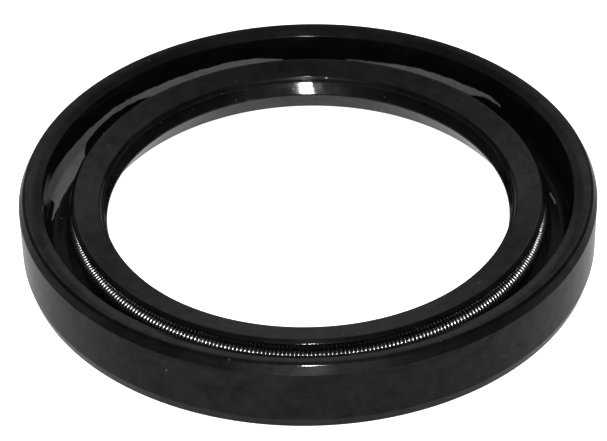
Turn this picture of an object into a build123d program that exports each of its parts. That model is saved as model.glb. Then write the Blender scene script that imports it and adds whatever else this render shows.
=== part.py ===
from build123d import *
import math
import os

# Radial shaft seal, rubber-covered, single sealing lip with a garter spring.
# Units are millimetres. The seal's axis is Z. The origin is on the axis, in the
# plane of the back (air-side) face, so +Z points to the spring (oil) side.
# Every piece is a body of revolution: its section is drawn as (radius, height)
# points and turned a full circle.

# ---------------------------------------------------------------- sizes
OD = 62.2                 # free outside diameter: 62 mm housing bore plus press allowance
WIDTH = 8.0               # nominal width of the seal
R = OD / 2

# outer wall
BACK_CHAMFER_R = 0.30     # lead-in at the back edge, radial
BACK_CHAMFER_Z = 1.15     # lead-in at the back edge, axial
FRONT_EDGE_Z = 6.91       # where the front lead-in chamfer leaves the outside diameter
RIM_TOP_R = 30.53         # crest of the front rim
RIM_MID_R = 29.53         # the rim's top is crowned: flat near the crest, steeper inside
RIM_MID_Z = 7.85
RIM_IN_R = 28.62          # inner edge of the rim
RIM_IN_Z = 7.47

# cavity between the outer wall and the lip
WALL_R = 28.50            # inner wall below the rim
WALL_TOP_Z = 6.60         # top of its straight part
FLOOR_Z = 1.95
FLOOR_FILLET = 1.20       # between the wall and the floor

# lip head
FACE_OUT_R, FACE_OUT_Z = 25.15, 6.617    # outer edge of the lip's conical front face
SIDE_R, SIDE_Z = 25.62, 6.28             # below the bevel of that edge; the side leans in from here
MOUTH_R, NECK_R = 25.25, 24.98           # upper and lower mouth of the spring groove
FACE_IN_R, FACE_IN_Z = 22.45, 6.03       # inner edge of the front face
STEP_R, STEP_Z = 22.30, 5.74             # foot of the steep step inside that edge
EDGE_R, EDGE_Z = 22.05, 5.60             # small overhanging edge above the sealing edge
RECESS_R, RECESS_Z = 22.60, 5.20         # recess under it, where the oil-side cone begins
LIP_R = 21.79                            # sealing edge, free radius: 45 mm shaft
LIP_Z = 3.98
LIP_LAND = 0.20                          # width of the land at the sealing edge
AIR_R, AIR_Z = 23.66, 1.07               # lower end of the air-side cone

# garter spring
SPRING_R, SPRING_Z = 25.20, 4.51         # ring centre line
COIL_R = 0.85                            # outside radius of the coil
WIRE = 0.40                              # wire diameter
GROOVE_R = 0.87                          # radius of the groove that holds it

# web and heel
HEEL_R = 25.30                           # bore of the heel at the back
HEEL_Z = 0.62

# steel case (stiffening ring) moulded inside the rubber
STEEL = 1.00                             # sheet thickness
CASE_OUT_R = 30.10
CASE_IN_R = 26.10                        # inner edge of the radial flange
CASE_BACK_Z = 0.60
CASE_TOP_Z = 6.45
CASE_BEND = 1.40                         # outer bend radius


# ---------------------------------------------------------------- section helpers
def rounded(points):
    """Closed wire in the XZ plane through (r, z, radius) corners, each rounded by its radius."""
    n = len(points)
    ends = []
    for i in range(n):
        r0, z0 = points[i - 1][:2]
        r1, z1, rad = points[i][:3]
        r2, z2 = points[(i + 1) % n][:2]
        ax, az = r0 - r1, z0 - z1
        bx, bz = r2 - r1, z2 - z1
        la, lb = math.hypot(ax, az), math.hypot(bx, bz)
        ax, az, bx, bz = ax / la, az / la, bx / lb, bz / lb
        if rad <= 0:
            ends.append(((r1, z1), None, (r1, z1)))
            continue
        half = math.acos(max(-1.0, min(1.0, ax * bx + az * bz))) / 2
        t = rad / math.tan(half)
        mx, mz = ax + bx, az + bz
        lm = math.hypot(mx, mz)
        d = rad / math.sin(half) - rad
        mid = (r1 + mx / lm * d, z1 + mz / lm * d)
        ends.append(((r1 + ax * t, z1 + az * t), mid, (r1 + bx * t, z1 + bz * t)))
    edges = []
    for i in range(n):
        a, mid, b = ends[i]
        if mid is not None:
            edges.append(ThreePointArc((a[0], 0, a[1]), (mid[0], 0, mid[1]), (b[0], 0, b[1])))
        c = ends[(i + 1) % n][0]
        if math.hypot(c[0] - b[0], c[1] - b[1]) > 1e-7:
            arc = points[i][3] if len(points[i]) > 3 else None
            if arc is None:
                edges.append(Line((b[0], 0, b[1]), (c[0], 0, c[1])))
            else:
                edges.append(ThreePointArc((b[0], 0, b[1]), (arc[0], 0, arc[1]), (c[0], 0, c[1])))
    return Wire(edges)


def turned(points):
    return revolve(Face(rounded(points)), axis=Axis.Z, revolution_arc=360)


def crest_height(r, outer, inner, rad, top):
    """Height of the sharp corner at radius r whose rounding just reaches the height top."""
    z = top
    for _ in range(20):
        ax, az = outer[0] - r, outer[1] - z
        bx, bz = inner[0] - r, inner[1] - z
        la, lb = math.hypot(ax, az), math.hypot(bx, bz)
        half = math.acos((ax * bx + az * bz) / la / lb) / 2
        mx, mz = ax / la + bx / lb, az / la + bz / lb
        z = top + rad / math.sin(half) * (-mz / math.hypot(mx, mz)) - rad
    return z


# ---------------------------------------------------------------- rubber body
RIM_ROUND = 0.50
rim_corner_z = crest_height(RIM_TOP_R, (R, FRONT_EDGE_Z), (RIM_MID_R, RIM_MID_Z), RIM_ROUND, WIDTH)
groove_open = math.sqrt(GROOVE_R ** 2 - (MOUTH_R - SPRING_R - 0.01) ** 2)
groove_low = math.sqrt(GROOVE_R ** 2 - (NECK_R - SPRING_R - 0.01) ** 2)
GROOVE_BACK = (SPRING_R + 0.01 - GROOVE_R, SPRING_Z)

body_section = [
    # back face and outer wall
    (HEEL_R, 0.0, 0.15),
    (R - BACK_CHAMFER_R, 0.0, 0.12),
    (R, BACK_CHAMFER_Z, 0.30),
    (R, FRONT_EDGE_Z, 0.14),
    # rim: lead-in chamfer, crest, crowned top, inner edge
    (RIM_TOP_R, rim_corner_z, RIM_ROUND),
    (RIM_MID_R, RIM_MID_Z, 3.50),
    (RIM_IN_R, RIM_IN_Z, 0.12),
    # inner wall and floor
    (WALL_R, WALL_TOP_Z, 0.45),
    (WALL_R, FLOOR_Z, FLOOR_FILLET),
    # web up to the neck, then the shoulder below the groove
    (26.35, FLOOR_Z + 0.02, 1.20),
    (24.25, 2.52, 0.35),
    (25.00, 3.25, 0.12),
    # spring groove: lower mouth, arc, upper mouth
    (NECK_R, SPRING_Z - groove_low, 0.0, GROOVE_BACK),
    (MOUTH_R, SPRING_Z + groove_open, 0.0),
    # outer side and bevel of the lip head, front face, step, overhanging edge, recess
    (SIDE_R, SIDE_Z, 0.20),
    (FACE_OUT_R, FACE_OUT_Z, 0.30),
    (FACE_IN_R, FACE_IN_Z, 0.08),
    (STEP_R, STEP_Z, 0.05),
    (EDGE_R, EDGE_Z, 0.04),
    (RECESS_R, RECESS_Z, 0.12),
    # sealing edge land and air-side cone
    (LIP_R, LIP_Z + LIP_LAND / 2, 0.0),
    (LIP_R, LIP_Z - LIP_LAND / 2, 0.0),
    (AIR_R, AIR_Z, 0.12),
    # underside of the web, heel bore
    (HEEL_R, HEEL_Z, 0.25),
]

case_section = [
    (CASE_IN_R, CASE_BACK_Z, 0.08),
    (CASE_OUT_R, CASE_BACK_Z, CASE_BEND),
    (CASE_OUT_R, CASE_TOP_Z, 0.12),
    (CASE_OUT_R - STEEL, CASE_TOP_Z, 0.12),
    (CASE_OUT_R - STEEL, CASE_BACK_Z + STEEL, CASE_BEND - STEEL),
    (CASE_IN_R, CASE_BACK_Z + STEEL, 0.08),
]

# The case is moulded in: the rubber has a closed pocket of exactly its shape.
steel_case = turned(case_section)
seal_body = turned(body_section) - steel_case

# ---------------------------------------------------------------- garter spring
# Close-wound coil joined end to end: a tube of the wire's thickness bent to a ring.
coil = Plane(origin=(SPRING_R, 0, SPRING_Z), z_dir=(0, 1, 0))
garter_spring = revolve(coil * (Circle(COIL_R) - Circle(COIL_R - WIRE)), axis=Axis.Z, revolution_arc=360)

# ---------------------------------------------------------------- write
os.makedirs("parts", exist_ok=True)
for name, shape in (("seal_body", seal_body), ("steel_case", steel_case), ("garter_spring", garter_spring)):
    export_step(shape, f"parts/{name}.step")
    print(name, round(shape.volume, 1), shape.is_valid)
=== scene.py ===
import math

import bpy
import numpy as np
from mathutils import Matrix, Vector


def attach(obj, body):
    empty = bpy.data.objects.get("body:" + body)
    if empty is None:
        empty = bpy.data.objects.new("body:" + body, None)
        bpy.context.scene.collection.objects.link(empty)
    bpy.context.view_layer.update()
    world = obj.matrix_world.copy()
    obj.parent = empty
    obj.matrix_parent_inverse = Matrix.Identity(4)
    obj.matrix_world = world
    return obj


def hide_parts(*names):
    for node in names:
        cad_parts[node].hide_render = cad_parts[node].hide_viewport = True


# Radial shaft seal: rubber body, steel case inside it, and a wound garter spring.
# Sizes below repeat the CAD section in millimetres; the scene itself is in metres.

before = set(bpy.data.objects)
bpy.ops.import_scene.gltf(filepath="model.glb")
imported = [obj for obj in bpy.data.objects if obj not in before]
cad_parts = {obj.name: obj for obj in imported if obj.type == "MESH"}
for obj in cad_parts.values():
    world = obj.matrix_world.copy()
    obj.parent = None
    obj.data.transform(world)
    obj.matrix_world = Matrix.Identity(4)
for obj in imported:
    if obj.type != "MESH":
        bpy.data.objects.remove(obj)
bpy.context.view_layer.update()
scene = bpy.context.scene
MM = 0.001

# ------------------------------------------------------------------ camera
# The photograph's view: about 38 degrees above the seal, 0.29 m away.
PITCH, YAW, ROLL = 0.657088, -0.0007, -0.020958
FOCAL_PX, OFF_X, OFF_Y, FRAME_W = 2684.78, 3.5734, 10.0312, 607.0
fwd = Vector((math.sin(YAW) * math.cos(PITCH), math.cos(YAW) * math.cos(PITCH), -math.sin(PITCH)))
right = Vector((math.cos(YAW), -math.sin(YAW), 0.0))
up = right.cross(fwd)
rr = right * math.cos(ROLL) + up * math.sin(ROLL)
uu = up * math.cos(ROLL) - right * math.sin(ROLL)
# the view is aimed at the middle of the frame, so that the lens needs no shift
aim = (fwd - rr * (OFF_X / FOCAL_PX) + uu * (OFF_Y / FOCAL_PX)).normalized()
ax = (rr - aim * rr.dot(aim)).normalized()
ay = ax.cross(aim)
cam_data = bpy.data.cameras.new("camera")
cam_data.sensor_width = 36.0
cam_data.lens = FOCAL_PX / FRAME_W * 36.0
cam_data.clip_start = 0.01
cam_data.clip_end = 20.0
cam = bpy.data.objects.new("camera", cam_data)
scene.collection.objects.link(cam)
cam.matrix_world = Matrix((
    (ax.x, ay.x, -aim.x, 0.0),
    (ax.y, ay.y, -aim.y, -0.231998),
    (ax.z, ay.z, -aim.z, 0.180017),
    (0.0, 0.0, 0.0, 1.0)))
scene.camera = cam
scene.view_settings.view_transform = "Standard"
scene.view_settings.look = "None"

# ------------------------------------------------------------------ the section
OD, WIDTH = 62.2, 8.0
R = OD / 2
FRONT_EDGE_Z = 6.91
RIM_TOP_R, RIM_MID_R, RIM_MID_Z = 30.53, 29.53, 7.85
RIM_IN_R, RIM_IN_Z = 28.62, 7.47
WALL_R, WALL_TOP_Z = 28.50, 6.60
FLOOR_Z, FLOOR_FILLET = 1.95, 1.20
FACE_OUT_R, FACE_OUT_Z = 25.15, 6.617
SIDE_R, SIDE_Z = 25.62, 6.28
MOUTH_R, NECK_R = 25.25, 24.98
FACE_IN_R, FACE_IN_Z = 22.45, 6.03
STEP_R, STEP_Z = 22.30, 5.74
EDGE_R, EDGE_Z = 22.05, 5.60
RECESS_R, RECESS_Z = 22.60, 5.20
LIP_R, LIP_Z, LIP_LAND = 21.79, 3.98, 0.20
AIR_R, AIR_Z = 23.66, 1.07
SPRING_R, SPRING_Z, COIL_R, WIRE = 25.20, 4.51, 0.85, 0.40
GROOVE_R = 0.87
HEEL_R, HEEL_Z = 25.30, 0.62
RIM_ROUND = 0.50


def crest_height(r, outer, inner, rad, top):
    z = top
    for _ in range(20):
        a = np.array([outer[0] - r, outer[1] - z])
        b = np.array([inner[0] - r, inner[1] - z])
        a, b = a / np.linalg.norm(a), b / np.linalg.norm(b)
        half = math.acos(float(a @ b)) / 2
        m = (a + b) / np.linalg.norm(a + b)
        z = top - rad / math.sin(half) * m[1] - rad
    return z


rim_corner_z = crest_height(RIM_TOP_R, (R, FRONT_EDGE_Z), (RIM_MID_R, RIM_MID_Z), RIM_ROUND, WIDTH)
groove_open = math.sqrt(GROOVE_R ** 2 - (MOUTH_R - SPRING_R - 0.01) ** 2)
groove_low = math.sqrt(GROOVE_R ** 2 - (NECK_R - SPRING_R - 0.01) ** 2)

# (radius, height, corner rounding, region, and the middle of an arc to the next corner)
BODY = [
    (HEEL_R, 0.0, 0.15, "back"),
    (R - 0.30, 0.0, 0.12, "back_chamfer"),
    (R, 1.15, 0.30, "od"),
    (R, FRONT_EDGE_Z, 0.14, "front_chamfer"),
    (RIM_TOP_R, rim_corner_z, RIM_ROUND, "rim"),
    (RIM_MID_R, RIM_MID_Z, 3.50, "rim"),
    (RIM_IN_R, RIM_IN_Z, 0.12, "rim_in"),
    (WALL_R, WALL_TOP_Z, 0.45, "wall"),
    (WALL_R, FLOOR_Z, FLOOR_FILLET, "floor"),
    (26.35, FLOOR_Z + 0.02, 1.20, "web"),
    (24.25, 2.52, 0.35, "neck"),
    (25.00, 3.25, 0.12, "neck"),
    (NECK_R, SPRING_Z - groove_low, 0.0, "groove", (SPRING_R + 0.01 - GROOVE_R, SPRING_Z)),
    (MOUTH_R, SPRING_Z + groove_open, 0.0, "side"),
    (SIDE_R, SIDE_Z, 0.20, "bevel"),
    (FACE_OUT_R, FACE_OUT_Z, 0.30, "face"),
    (FACE_IN_R, FACE_IN_Z, 0.08, "throat"),
    (STEP_R, STEP_Z, 0.05, "throat"),
    (EDGE_R, EDGE_Z, 0.04, "recess"),
    (RECESS_R, RECESS_Z, 0.12, "oil_cone"),
    (LIP_R, LIP_Z + LIP_LAND / 2, 0.0, "land"),
    (LIP_R, LIP_Z - LIP_LAND / 2, 0.0, "air_cone"),
    (AIR_R, AIR_Z, 0.12, "web_under"),
    (HEEL_R, HEEL_Z, 0.25, "heel"),
]
CASE = [
    (26.10, 0.60, 0.08, "case"),
    (30.10, 0.60, 1.40, "case"),
    (30.10, 6.45, 0.12, "case"),
    (29.10, 6.45, 0.12, "case"),
    (29.10, 1.60, 0.40, "case"),
    (26.10, 1.60, 0.08, "case"),
]


def circle_through(a, m, b):
    (x1, y1), (x2, y2), (x3, y3) = a, m, b
    d = 2 * (x1 * (y2 - y3) + x2 * (y3 - y1) + x3 * (y1 - y2))
    ux = ((x1**2 + y1**2) * (y2 - y3) + (x2**2 + y2**2) * (y3 - y1) + (x3**2 + y3**2) * (y1 - y2)) / d
    uy = ((x1**2 + y1**2) * (x3 - x2) + (x2**2 + y2**2) * (x1 - x3) + (x3**2 + y3**2) * (x2 - x1)) / d
    return ux, uy


def section(points, line_step=0.4, arc_deg=11.0):
    """The rounded section as short pieces: start, end, start normal, end normal, region."""
    n = len(points)
    ends = []
    for i in range(n):
        p0 = np.array(points[i - 1][:2])
        p1 = np.array(points[i][:2])
        p2 = np.array(points[(i + 1) % n][:2])
        rad = points[i][2]
        a, b = p0 - p1, p2 - p1
        a, b = a / np.linalg.norm(a), b / np.linalg.norm(b)
        if rad <= 0:
            ends.append((p1, None, p1))
            continue
        half = math.acos(max(-1.0, min(1.0, float(a @ b)))) / 2
        t = rad / math.tan(half)
        m = (a + b) / np.linalg.norm(a + b)
        ends.append((p1 + a * t, p1 + m * (rad / math.sin(half) - rad), p1 + b * t))
    out = []

    def arc(a, m, b, region):
        cx, cy = circle_through(a, m, b)
        c = np.array([cx, cy])
        t0 = math.atan2(a[1] - cy, a[0] - cx)
        tm = math.atan2(m[1] - cy, m[0] - cx)
        t1 = math.atan2(b[1] - cy, b[0] - cx)
        ccw = (tm - t0) % (2 * math.pi) < (t1 - t0) % (2 * math.pi)
        sweep = (t1 - t0) % (2 * math.pi) if ccw else -((t0 - t1) % (2 * math.pi))
        rad = math.hypot(a[0] - cx, a[1] - cy)
        k = max(2, int(math.ceil(abs(math.degrees(sweep)) / arc_deg)))
        sign = 1.0 if ccw else -1.0
        prev, pn = np.array(a), sign * np.array([math.cos(t0), math.sin(t0)])
        for i in range(1, k + 1):
            t = t0 + sweep * i / k
            q = c + rad * np.array([math.cos(t), math.sin(t)])
            if i == k:
                q = np.array(b)
            qn = sign * np.array([math.cos(t), math.sin(t)])
            out.append((prev, q, pn, qn, region))
            prev, pn = q, qn

    for i in range(n):
        a, m, b = ends[i]
        region = points[i][3]
        if m is not None:
            arc(a, m, b, region)
        c = ends[(i + 1) % n][0]
        length = float(np.linalg.norm(c - b))
        if length > 1e-7:
            if len(points[i]) > 4:
                arc(b, points[i][4], c, region)
            else:
                k = max(1, int(math.ceil(length / line_step)))
                t = (c - b) / length
                nn = np.array([t[1], -t[0]])
                for s in range(k):
                    out.append((b + (c - b) * s / k, b + (c - b) * (s + 1) / k, nn, nn, region))
    return out


def turned_mesh(name, groups, bulge=None):
    """A mesh of turned sections. groups is [(section pieces, segments, inside out)]."""
    co, faces, normals, regions = [], [], [], []
    base = 0
    for pieces, seg, inside_out in groups:
        k = len(pieces)
        phi = np.arange(seg) * (2 * math.pi / seg)
        start = np.array([p[0] for p in pieces])
        d = np.zeros((k, seg))
        if bulge is not None and not inside_out:
            d = bulge(pieces, phi)
        n0 = np.array([p[2] for p in pieces])
        n1 = np.array([p[3] for p in pieces])
        # the direction in which a corner moves: the mean of the normals that meet there
        nv = n0 + np.roll(n1, 1, axis=0)
        nv /= np.linalg.norm(nv, axis=1, keepdims=True)
        rad = start[:, 0][:, None] + nv[:, 0][:, None] * d
        hgt = start[:, 1][:, None] + nv[:, 1][:, None] * d
        xyz = np.stack([rad * np.cos(phi), rad * np.sin(phi), hgt], -1) * MM
        co.append(xyz.reshape(-1, 3))
        # slopes of the displacement, along the section and round the axis
        length = np.linalg.norm(np.roll(start, -1, axis=0) - start, axis=1)
        slope = (np.roll(d, -1, axis=0) - d) / length[:, None]
        ds_v = 0.5 * (slope + np.roll(slope, 1, axis=0))
        dphi = (np.roll(d, -1, axis=1) - np.roll(d, 1, axis=1)) / (2 * (2 * math.pi / seg)) / start[:, 0][:, None]

        def spatial(n2, kk, jj):
            dsv, dph = ds_v[kk][:, jj], dphi[kk][:, jj]
            tr, tz = -n2[:, 1][:, None], n2[:, 0][:, None]
            nr = n2[:, 0][:, None] - dsv * tr
            nz = n2[:, 1][:, None] - dsv * tz
            na = -dph
            c, s = np.cos(phi[jj])[None], np.sin(phi[jj])[None]
            v = np.stack([nr * c - na * s, nr * s + na * c, nz + 0 * c], -1)
            return v / np.linalg.norm(v, axis=-1, keepdims=True)

        kk = np.arange(k)
        kn = (kk + 1) % k
        jj = np.arange(seg)
        jn = (jj + 1) % seg
        a = base + kk[:, None] * seg + jj[None]
        b = base + kk[:, None] * seg + jn[None]
        c = base + kn[:, None] * seg + jn[None]
        e = base + kn[:, None] * seg + jj[None]
        na, nb = spatial(n0, kk, jj), spatial(n0, kk, jn)
        nc, ne = spatial(n1, kn, jn), spatial(n1, kn, jj)
        if inside_out:
            f = np.stack([a, e, c, b], -1)
            nn = -np.stack([na, ne, nc, nb], 2)
        else:
            f = np.stack([a, b, c, e], -1)
            nn = np.stack([na, nb, nc, ne], 2)
        faces.append(f.reshape(-1, 4))
        normals.append(nn.reshape(-1, 3))
        regions += [p[4] for p in pieces for _ in range(seg)]
        base += k * seg
    co = np.concatenate(co)
    faces = np.concatenate(faces)
    normals = np.concatenate(normals)
    me = bpy.data.meshes.new(name)
    me.vertices.add(len(co))
    me.vertices.foreach_set("co", co.ravel())
    me.loops.add(faces.size)
    me.loops.foreach_set("vertex_index", faces.ravel().astype(np.int32))
    me.polygons.add(len(faces))
    me.polygons.foreach_set("loop_start", (np.arange(len(faces)) * 4).astype(np.int32))
    me.polygons.foreach_set("loop_total", np.full(len(faces), 4, np.int32))
    me.update(calc_edges=True)
    me.polygons.foreach_set("use_smooth", np.ones(len(faces), bool))
    me.normals_split_custom_set(normals.tolist())
    me.update()
    ob = bpy.data.objects.new(name, me)
    scene.collection.objects.link(ob)
    return ob, regions


# ------------------------------------------------------------------ materials
def material(name):
    m = bpy.data.materials.new(name)
    m.use_nodes = True
    nt = m.node_tree
    nt.nodes.clear()
    out = nt.nodes.new("ShaderNodeOutputMaterial")
    bsdf = nt.nodes.new("ShaderNodeBsdfPrincipled")
    nt.links.new(bsdf.outputs["BSDF"], out.inputs["Surface"])
    return m, nt, bsdf


class G:
    """Small helper for node graphs."""

    def __init__(self, nt):
        self.nt = nt

    def node(self, kind, **sets):
        n = self.nt.nodes.new(kind)
        for k, v in sets.items():
            setattr(n, k, v)
        return n

    def link(self, a, b):
        self.nt.links.new(a, b)

    def math(self, op, a, b=None, c=None, clamp=False):
        n = self.node("ShaderNodeMath", operation=op, use_clamp=clamp)
        for i, v in enumerate((a, b, c)):
            if v is None:
                continue
            if isinstance(v, (int, float)):
                n.inputs[i].default_value = v
            else:
                self.link(v, n.inputs[i])
        return n.outputs[0]

    def noise(self, vec, scale, detail=3.0, rough=0.5, dist=0.0):
        n = self.node("ShaderNodeTexNoise")
        n.inputs["Scale"].default_value = scale
        n.inputs["Detail"].default_value = detail
        n.inputs["Roughness"].default_value = rough
        n.inputs["Distortion"].default_value = dist
        self.link(vec, n.inputs["Vector"])
        return n.outputs["Fac"]

    def ramp(self, fac, stops, kind="LINEAR"):
        n = self.node("ShaderNodeValToRGB")
        n.color_ramp.interpolation = kind
        e = n.color_ramp.elements
        e[0].position, e[0].color = stops[0][0], stops[0][1]
        e[1].position, e[1].color = stops[-1][0], stops[-1][1]
        for p, c in stops[1:-1]:
            x = e.new(p)
            x.color = c
        self.link(fac, n.inputs["Fac"])
        return n.outputs["Color"]

    def range(self, v, a, b, c, d):
        n = self.node("ShaderNodeMapRange")
        n.clamp = True
        n.inputs["From Min"].default_value = a
        n.inputs["From Max"].default_value = b
        n.inputs["To Min"].default_value = c
        n.inputs["To Max"].default_value = d
        self.link(v, n.inputs["Value"])
        return n.outputs["Result"]


def grey(v):
    return (v, v, v, 1.0)


# A painted reflection: the light streak along the cavity's outer wall and floor is painted as a pale
# band with a shader of its own. Upper and lower edge of the painted streak against the angle, in degrees
# and mm up the wall (below the corner the height goes on along the floor, towards the axis)
PAINTED_STREAK_TOP = [(4.5, 0.0), (5.5, 0.84), (11.0, 0.66), (12.5, 0.0), (36.0, 0.0), (38.5, 4.50), (42.4, 4.92), (45.5, 5.01), (48.5, 4.81), (56.9, 4.83), (64.7, 4.82),
            (68.4, 4.68), (75.7, 4.56), (80.0, 4.62), (83.0, 3.00), (92.0, 3.00), (95.0, 4.50), (100.5, 4.95), (107.7, 5.10), (115.2, 4.96),
            (127.0, 4.86), (138.3, 5.09), (146.2, 4.85), (156.4, 4.76), (160.8, 4.89), (166.1, 5.10),
            (171.1, 5.27), (175.0, 5.30), (180.0, 5.40), (182.0, 4.60)]
PAINTED_STREAK_LOW = [(4.5, 6.0), (5.5, 0.62), (11.0, 0.40), (12.5, 6.0), (36.0, 6.0), (38.5, 4.20), (42.4, 4.40), (45.5, 4.28), (48.4, 3.62), (54.1, 3.45), (62.0, 3.75),
            (80.0, 3.95), (100.5, 4.11), (108.0, 3.86), (118.0, 3.40), (126.0, 3.40), (130.0, 4.04), (134.8, 4.24),
            (141.2, 4.22), (146.0, 3.94), (148.1, 3.76), (149.9, 3.49), (151.3, 3.08), (152.3, 2.20), (153.4, 1.35),
            (159.0, 1.18), (164.0, 1.08), (168.0, 1.18), (173.0, 1.38), (178.0, 1.62), (180.0, 4.90), (182.0, 5.30)]
# a painted dark reflection: a dark spot cut out of the painted streak, opening towards its end
STREAK_GAP_TOP = [(170.3, 0.0), (171.3, 2.40), (172.0, 3.20), (175.0, 4.40), (178.0, 4.88), (180.5, 5.10)]
STREAK_GAP_LOW = [(170.3, 6.0), (171.3, 2.10), (174.2, 1.78), (177.6, 1.78), (180.5, 1.80)]
# tone of the painted streak: darkest, lightest, and the painted highlight added along its lower edge
PAINTED_STREAK_TONE = (0.165, 0.215, 0.080)
# specks of dust and small nicks: radius, angle, height, size in mm, brightness
SPECKS = [
    (27.09, 176.0, 1.96, 0.16, 0.7), (23.96, 157.2, 6.36, 0.10, 0.8), (23.96, 13.1, 6.36, 0.11, 0.9),
    (29.68, 327.6, 7.88, 0.12, 0.7), (29.68, 261.4, 7.88, 0.14, 0.6), (29.70, 261.9, 7.88, 0.08, 0.7),
    (23.12, 109.9, 6.18, 0.11, 0.8), (22.10, 66.0, 4.48, 0.12, 0.6), (22.98, 149.7, 6.15, 0.10, 0.7),
    (30.27, 295.3, 8.00, 0.11, 0.8), (25.56, 294.6, 6.28, 0.10, 0.7), (23.82, 317.1, 6.33, 0.11, 0.8),
    (30.56, 254.6, 7.90, 0.12, 0.8), (22.09, 115.7, 5.62, 0.09, 0.7), (22.41, 136.7, 4.93, 0.10, 0.7),
    (22.24, 125.0, 4.71, 0.09, 0.7), (29.68, 127.1, 7.88, 0.16, 0.3),
]


def rubber_material():
    m, nt, bsdf = material("nitrile_rubber_moulded")
    g = G(nt)
    tc = g.node("ShaderNodeTexCoord")
    pos = tc.outputs["Object"]
    sep = g.node("ShaderNodeSeparateXYZ")
    g.link(pos, sep.inputs[0])
    x, y, z = sep.outputs
    r_mm = g.math("MULTIPLY", g.math("SQRT", g.math("ADD", g.math("MULTIPLY", x, x), g.math("MULTIPLY", y, y))), 1000.0)
    z_mm = g.math("MULTIPLY", z, 1000.0)
    turn = g.math("FRACT", g.math("ADD", g.math("DIVIDE", g.math("ARCTAN2", y, x), 2 * math.pi), 1.0))

    def times(*v):
        out = v[0]
        for w in v[1:]:
            out = g.math("MULTIPLY", out, w)
        return out

    def between(v, lo, hi, soft):
        return times(g.range(v, lo - soft, lo + soft, 0.0, 1.0), g.range(v, hi - soft, hi + soft, 1.0, 0.0))

    # cloudy variation of the moulded skin, a fine grain and flow marks drawn out round the axis
    cloud = g.noise(pos, 260.0, 4.0, 0.55)
    blotch = g.noise(pos, 640.0, 3.0, 0.6, 0.4)
    grain = g.noise(pos, 5200.0, 2.0, 0.6)
    fine = g.noise(pos, 1500.0, 3.0, 0.6)
    round_ = g.node("ShaderNodeCombineXYZ")
    g.link(g.math("MULTIPLY", g.math("ARCTAN2", y, x), 9.0), round_.inputs[0])
    g.link(g.math("MULTIPLY", r_mm, 5.0), round_.inputs[1])
    g.link(g.math("MULTIPLY", z_mm, 5.0), round_.inputs[2])
    flow = g.noise(round_.outputs[0], 1.0, 3.0, 0.55)
    hair = g.noise(round_.outputs[0], 5.5, 2.0, 0.5, 0.3)
    scratch = times(g.range(hair, 0.655, 0.70, 0.0, 1.0), g.range(cloud, 0.50, 0.62, 0.0, 1.0))

    # dust: sparse pale specks everywhere, and the larger ones where they lie
    vor = g.node("ShaderNodeTexVoronoi")
    vor.inputs["Scale"].default_value = 620.0
    g.link(pos, vor.inputs["Vector"])
    pick = g.node("ShaderNodeSeparateColor")
    g.link(vor.outputs["Color"], pick.inputs[0])
    dust = times(g.range(vor.outputs["Distance"], 0.04, 0.10, 1.0, 0.0), g.range(pick.outputs[0], 0.93, 0.99, 0.0, 1.0))
    for r0, deg, z0, size, level in SPECKS:
        d = g.node("ShaderNodeVectorMath", operation="DISTANCE")
        g.link(pos, d.inputs[0])
        d.inputs[1].default_value = (r0 * MM * math.cos(math.radians(deg)), r0 * MM * math.sin(math.radians(deg)), z0 * MM)
        ragged = g.math("ADD", g.math("MULTIPLY", d.outputs["Value"], 1000.0), g.range(fine, 0.3, 0.7, -0.35 * size, 0.35 * size))
        dust = g.math("MAXIMUM", dust, g.range(ragged, 0.35 * size, size, level, 0.0))

    base = g.math("ADD", g.range(cloud, 0.3, 0.7, 0.0016, 0.0040), g.range(grain, 0.35, 0.65, 0.0, 0.001))
    base = g.math("ADD", base, g.math("MULTIPLY", dust, 0.05))
    base = g.math("ADD", base, g.math("MULTIPLY", scratch, 0.012))
    comb = g.node("ShaderNodeCombineColor")
    for i, tint in enumerate((1.0, 1.0, 1.02)):
        g.link(g.math("MULTIPLY", base, tint), comb.inputs[i])
    g.link(comb.outputs[0], bsdf.inputs["Base Color"])

    # painted shade: the cavity floor, the shaded side of the spring groove and the throat corner get a lower specular
    # level so they come out darker than the faces; the first two are also rougher
    channel_painted_shade = times(between(r_mm, 24.3, 28.35, 0.12), between(z_mm, 1.5, 3.25, 0.15))
    groove_side_painted_shade = times(between(r_mm, 24.5, 25.72, 0.04), between(z_mm, 3.3, 6.24, 0.05))
    aside = g.math("DIVIDE", g.math("ABSOLUTE", g.math("MULTIPLY", x, 1000.0)), g.math("MAXIMUM", r_mm, 1.0))
    # painted shade on the throat corner, at the left and right of the seal only
    throat = times(between(r_mm, 22.0, 22.60, 0.04), between(z_mm, 5.56, 6.09, 0.03), g.range(aside, 0.90, 0.97, 0.0, 1.0))
    rough = g.math("ADD", g.range(cloud, 0.3, 0.7, 0.06, 0.10), g.range(fine, 0.3, 0.7, -0.015, 0.015))
    rough = g.math("ADD", rough, g.math("MULTIPLY", dust, 0.4))
    rough = g.math("ADD", rough, g.math("MULTIPLY", groove_side_painted_shade, 0.20))
    rough = g.math("ADD", rough, g.range(blotch, 0.35, 0.65, -0.012, 0.030))
    rough = g.math("ADD", rough, g.math("MULTIPLY", channel_painted_shade, 0.12))
    g.link(rough, bsdf.inputs["Roughness"])
    bsdf.inputs["IOR"].default_value = 1.5
    spec = g.math("ADD", g.range(blotch, 0.3, 0.7, 0.33, 0.65), g.range(flow, 0.3, 0.7, -0.08, 0.08))
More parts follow.
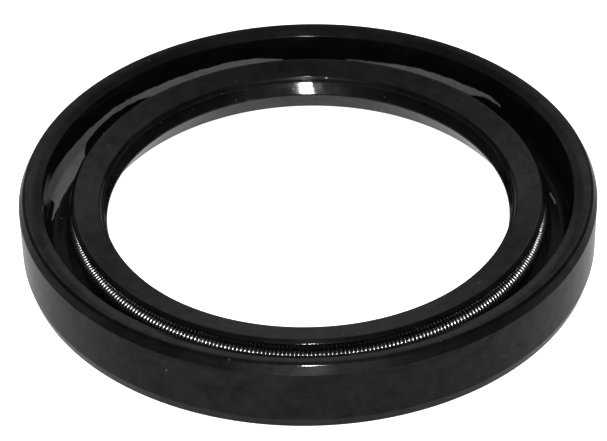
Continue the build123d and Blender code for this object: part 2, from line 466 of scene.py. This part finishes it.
    # painted shade: the specular level is cut in these three recesses
    spec = times(spec, g.math("SUBTRACT", 1.0, g.math("MULTIPLY", channel_painted_shade, 0.75)),
                 g.math("SUBTRACT", 1.0, g.math("MULTIPLY", groove_side_painted_shade, 0.93)),
                 g.math("SUBTRACT", 1.0, g.math("MULTIPLY", throat, 0.7)))
    g.link(spec, bsdf.inputs["Specular IOR Level"])
    bump = g.node("ShaderNodeBump")
    bump.inputs["Strength"].default_value = 0.25
    bump.inputs["Distance"].default_value = 0.00001
    h = g.math("ADD", g.math("MULTIPLY", fine, 1.0), g.math("MULTIPLY", grain, 0.35))
    h = g.math("ADD", h, g.math("MULTIPLY", dust, 2.0))
    h = g.math("SUBTRACT", h, g.math("MULTIPLY", scratch, 1.2))
    g.link(h, bump.inputs["Height"])
    g.link(bump.outputs["Normal"], bsdf.inputs["Normal"])

    # painted reflection: the light streak on the cavity's outer wall, painted as a pale band
    up_wall = g.math("SUBTRACT", z_mm, g.math("MAXIMUM", g.math("SUBTRACT", WALL_R, r_mm), 0.0))
    wobble = g.range(g.noise(pos, 900.0, 4.0, 0.6), 0.3, 0.7, -0.09, 0.09)
    s = g.math("ADD", up_wall, wobble)

    def edge(stops):
        return g.math("MULTIPLY", g.ramp(turn, [(a / 360.0, grey(v / 8.0)) for a, v in stops]), 8.0)

    low = edge(PAINTED_STREAK_LOW)
    painted_streak = times(g.range(g.math("SUBTRACT", edge(PAINTED_STREAK_TOP), s), -0.05, 0.12, 0.0, 1.0),
                 g.range(g.math("SUBTRACT", s, low), -0.05, 0.14, 0.0, 1.0))
    painted_streak = times(painted_streak, between(r_mm, 26.4, 28.75, 0.05), between(z_mm, 1.5, 6.2, 0.1))
    # painted dark reflection: the dark spot cut out of the painted streak
    streak_gap = times(g.range(g.math("SUBTRACT", edge(STREAK_GAP_TOP), s), -0.08, 0.08, 0.0, 1.0),
                 g.range(g.math("SUBTRACT", s, edge(STREAK_GAP_LOW)), -0.08, 0.08, 0.0, 1.0))
    painted_streak = times(painted_streak, g.math("SUBTRACT", 1.0, streak_gap))
    # the right-hand part thins out towards the top
    deg = g.math("MULTIPLY", turn, 360.0)
    painted_streak = times(painted_streak, g.math("MAXIMUM", g.range(deg, 70.0, 79.0, 1.0, 0.42), g.range(deg, 86.0, 96.0, 0.0, 1.0)))
    streak = g.range(flow, 0.3, 0.7, 0.72, 1.0)
    painted_streak = times(painted_streak, g.math("MAXIMUM", streak, 0.6))
    # the shader that carries the painted streak, a grey half-rough surface
    steel = nt.nodes.new("ShaderNodeBsdfPrincipled")
    # painted highlight: a brighter line along the lower edge of the streak; two lines down, painted shade darkens the
    # streak towards the floor
    painted_edge_highlight = times(g.range(g.math("SUBTRACT", s, low), 0.05, 0.45, 1.0, 0.0), g.range(low, 2.2, 1.6, 0.0, 1.0))
    tone = g.math("ADD", g.range(cloud, 0.3, 0.7, PAINTED_STREAK_TONE[0], PAINTED_STREAK_TONE[1]), g.math("MULTIPLY", painted_edge_highlight, PAINTED_STREAK_TONE[2]))
    tone = times(tone, g.range(fine, 0.3, 0.7, 0.88, 1.10), g.range(s, 1.2, 3.1, 0.42, 1.0))
    sc = g.node("ShaderNodeCombineColor")
    for i in range(3):
        g.link(tone, sc.inputs[i])
    g.link(sc.outputs[0], steel.inputs["Base Color"])
    g.link(g.range(fine, 0.3, 0.7, 0.45, 0.6), steel.inputs["Roughness"])
    steel.inputs["Specular IOR Level"].default_value = 0.6
    g.link(bump.outputs["Normal"], steel.inputs["Normal"])
    mix = nt.nodes.new("ShaderNodeMixShader")
    g.link(painted_streak, mix.inputs[0])
    g.link(bsdf.outputs[0], mix.inputs[1])
    g.link(steel.outputs[0], mix.inputs[2])
    out = [n for n in nt.nodes if n.bl_idname == "ShaderNodeOutputMaterial"][0]
    g.link(mix.outputs[0], out.inputs["Surface"])
    return m


def steel_material(name, base, rough_lo, rough_hi):
    m, nt, bsdf = material(name)
    g = G(nt)
    tc = g.node("ShaderNodeTexCoord")
    pos = tc.outputs["Object"]
    n1 = g.noise(pos, 900.0, 4.0, 0.6)
    n2 = g.noise(pos, 6000.0, 2.0, 0.5)
    v = g.math("MULTIPLY", g.range(n1, 0.3, 0.7, 0.85, 1.1), base)
    comb = g.node("ShaderNodeCombineColor")
    for i in range(3):
        g.link(v, comb.inputs[i])
    g.link(comb.outputs[0], bsdf.inputs["Base Color"])
    bsdf.inputs["Metallic"].default_value = 1.0
    g.link(g.range(n2, 0.3, 0.7, rough_lo, rough_hi), bsdf.inputs["Roughness"])
    bump = g.node("ShaderNodeBump")
    bump.inputs["Strength"].default_value = 0.3
    bump.inputs["Distance"].default_value = 0.00001
    g.link(n1, bump.inputs["Height"])
    g.link(bump.outputs["Normal"], bsdf.inputs["Normal"])
    return m


rubber = rubber_material()
case_steel = steel_material("case_steel_phosphated", 0.35, 0.45, 0.6)
spring_steel = steel_material("spring_wire_drawn", 0.30, 0.22, 0.28)

# ------------------------------------------------------------------ rubber body
body, _ = turned_mesh("seal_body_moulded", [(section(BODY), 384, False), (section(CASE, 2.0, 20.0), 128, True)])
body.data.materials.append(rubber)
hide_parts("seal_body")
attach(body, "root")

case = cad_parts["steel_case"]
case.data.materials.clear()
case.data.materials.append(case_steel)

# ------------------------------------------------------------------ garter spring
COILS, STEPS, SIDES = 380, 16, 10


def spring_mesh():
    wr = WIRE / 2
    cr = COIL_R - wr
    n = COILS * STEPS
    t = np.arange(n) / n
    th = 2 * math.pi * t                      # round the seal
    al = 2 * math.pi * COILS * t              # round the coil
    al = al + 0.35 * np.sin(7 * th + 1.0) + 0.22 * np.sin(19 * th + 0.4) + 0.12 * np.sin(53 * th)
    # the two ends are screwed together here, so the coil is slimmer over a few turns
    joint = np.exp(-((np.degrees(th) - 260.0) / 2.2) ** 4)[:, None]
    er = np.stack([np.cos(th), np.sin(th), 0 * th], -1)
    ez = np.array([0.0, 0.0, 1.0])
    ring = SPRING_R * er + SPRING_Z * ez
    p = ring + (cr - 0.07 * joint) * (np.cos(al)[:, None] * er + np.sin(al)[:, None] * ez)
    tan = np.roll(p, -1, axis=0) - np.roll(p, 1, axis=0)
    tan /= np.linalg.norm(tan, axis=1, keepdims=True)
    out = np.cos(al)[:, None] * er + np.sin(al)[:, None] * ez
    out -= tan * (out * tan).sum(1, keepdims=True)
    out /= np.linalg.norm(out, axis=1, keepdims=True)
    side = np.cross(tan, out)
    a = 2 * math.pi * np.arange(SIDES) / SIDES
    nrm = out[:, None] * np.cos(a)[None, :, None] + side[:, None] * np.sin(a)[None, :, None]
    co = (p[:, None] + wr * nrm) * MM
    i = np.arange(n)
    j = np.arange(SIDES)
    i2, j2 = (i + 1) % n, (j + 1) % SIDES
    f = np.stack([
        i[:, None] * SIDES + j[None], i2[:, None] * SIDES + j[None],
        i2[:, None] * SIDES + j2[None], i[:, None] * SIDES + j2[None]], -1).reshape(-1, 4)
    f = f[:, ::-1]
    me = bpy.data.meshes.new("garter_spring_coil")
    me.vertices.add(n * SIDES)
    me.vertices.foreach_set("co", co.reshape(-1))
    me.loops.add(f.size)
    me.loops.foreach_set("vertex_index", f.ravel().astype(np.int32))
    me.polygons.add(len(f))
    me.polygons.foreach_set("loop_start", (np.arange(len(f)) * 4).astype(np.int32))
    me.polygons.foreach_set("loop_total", np.full(len(f), 4, np.int32))
    me.update(calc_edges=True)
    me.polygons.foreach_set("use_smooth", np.ones(len(f), bool))
    me.update()
    ob = bpy.data.objects.new("garter_spring_coil", me)
    scene.collection.objects.link(ob)
    return ob


spring = spring_mesh()
spring.data.materials.append(spring_steel)
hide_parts("garter_spring")
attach(spring, "root")

# ------------------------------------------------------------------ floor and light
fm, nt, fb = material("floor_white")
g = G(nt)
tc = g.node("ShaderNodeTexCoord")
fn = g.noise(tc.outputs["Object"], 40.0, 3.0, 0.5)
fc = g.node("ShaderNodeCombineColor")
fv = g.range(fn, 0.3, 0.7, 0.90, 0.93)
for i in range(3):
    g.link(fv, fc.inputs[i])
g.link(fc.outputs[0], fb.inputs["Base Color"])
fb.inputs["Roughness"].default_value = 0.9
fb.inputs["Specular IOR Level"].default_value = 0.1
fb.inputs["Emission Color"].default_value = (1.0, 1.0, 1.0, 1.0)
fb.inputs["Emission Strength"].default_value = 0.95
bpy.ops.mesh.primitive_plane_add(size=6.0, location=(0, 0, -0.00002))
floor = bpy.context.object
floor.name = "floor"
floor.data.materials.append(fm)
floor.visible_glossy = False


def studio_world():
    """The room as the rubber mirrors it: a window behind the camera, a paler wall at the
    back, dark sides, and a table that gets brighter away from the camera."""
    w = bpy.data.worlds.new("studio")
    scene.world = w
    w.use_nodes = True
    nt = w.node_tree
    bg = nt.nodes["Background"]
    g = G(nt)
    tc = g.node("ShaderNodeTexCoord")
    sep = g.node("ShaderNodeSeparateXYZ")
    g.link(tc.outputs["Generated"], sep.inputs[0])
    x, y, z = sep.outputs
    flat = g.math("MAXIMUM", g.math("SQRT", g.math("ADD", g.math("MULTIPLY", x, x), g.math("MULTIPLY", y, y))), 0.001)
    front = g.math("DIVIDE", g.math("MULTIPLY", y, -1.0), flat)
    ahead = g.math("POWER", g.math("MAXIMUM", front, 0.0), 8.0)
    behind = g.math("POWER", g.math("MAXIMUM", g.math("MULTIPLY", front, -1.0), 0.0), 4.0)

    def curve(stops):
        return g.ramp(z, [(p, grey(v)) for p, v in stops])

    halo = g.math("POWER", g.math("MAXIMUM", front, 0.0), 200.0)
    window = g.math("ADD", g.math("MULTIPLY", ahead, curve(WINDOW)), g.math("MULTIPLY", halo, curve(HALO)))
    wall = g.math("MULTIPLY", behind, curve(WALL))
    sky = g.math("ADD", g.math("ADD", window, wall), curve(SKY))
    near = g.range(front, 0.3, -0.9, TABLE_NEAR[0], TABLE_NEAR[1])
    far = g.range(front, 0.7, -0.9, TABLE_FAR[0], TABLE_FAR[1])

    def blend(a, b, t):
        return g.math("ADD", g.math("MULTIPLY", a, g.math("SUBTRACT", 1.0, t)), g.math("MULTIPLY", b, t))

    table = blend(far, near, g.range(z, -0.20, -0.55, 0.0, 1.0))
    table = blend(table, g.math("ADD", TABLE_DOWN, 0.0), g.range(z, -0.85, -0.98, 0.0, 1.0))
    level = blend(table, sky, g.range(z, -0.02, 0.02, 0.0, 1.0))
    path = g.node("ShaderNodeLightPath")
    level = g.math("MAXIMUM", level, path.outputs["Is Camera Ray"])
    comb = g.node("ShaderNodeCombineColor")
    for i in range(3):
        g.link(level, comb.inputs[i])
    g.link(comb.outputs[0], bg.inputs["Color"])
    bg.inputs["Strength"].default_value = 1.0


# brightness against the height of the direction (0 level, 1 straight up)
WINDOW = [(0.0, 0.55), (0.3, 0.60), (0.5, 0.52), (0.62, 0.50), (0.75, 0.36), (0.9, 0.23), (1.0, 0.14)]
HALO = [(0.0, 0.3), (0.3, 0.9), (0.45, 0.9), (0.6, 0.5), (0.7, 0.3), (1.0, 0.0)]
WALL = [(0.0, 0.10), (0.14, 0.18), (0.23, 0.25), (0.3, 0.25), (0.38, 0.17), (0.46, 0.17), (0.55, 0.33), (0.6, 0.40), (0.786, 0.22), (0.88, 0.09), (1.0, 0.09)]
SKY = [(0.0, 0.06), (0.15, 0.04), (0.3, 0.015), (0.88, 0.015), (1.0, 0.11)]
TABLE_NEAR, TABLE_FAR, TABLE_DOWN = (0.30, 0.52), (0.18, 0.24), 0.39
studio_world()


def area(name, loc, target, size, power, size_y=None, glossy=True):
    d = bpy.data.lights.new(name, "AREA")
    d.shape = "RECTANGLE" if size_y else "SQUARE"
    d.size = size
    if size_y:
        d.size_y = size_y
    d.energy = power
    o = bpy.data.objects.new(name, d)
    o.location = loc
    o.rotation_euler = (Vector(target) - Vector(loc)).to_track_quat("-Z", "Y").to_euler()
    scene.collection.objects.link(o)
    o.visible_glossy = glossy
    return o


area("key_top", (0, 0.0, 1.2), (0, 0, 0), 1.4, 16.0, glossy=False)
area("flash", (-0.002, -0.236, 0.192), (0, 0, 0.0), 0.022, 0.42)
# a second lamp beside the first picks out the bright line along the coil and nothing else
glint = area("coil_glint", (-0.002, -0.236, 0.192), (0, 0, 0.0), 0.14, 0.66, size_y=0.10)
lit = bpy.data.collections.new("coil_glint_receivers")
lit.objects.link(spring)
glint.light_linking.receiver_collection = lit
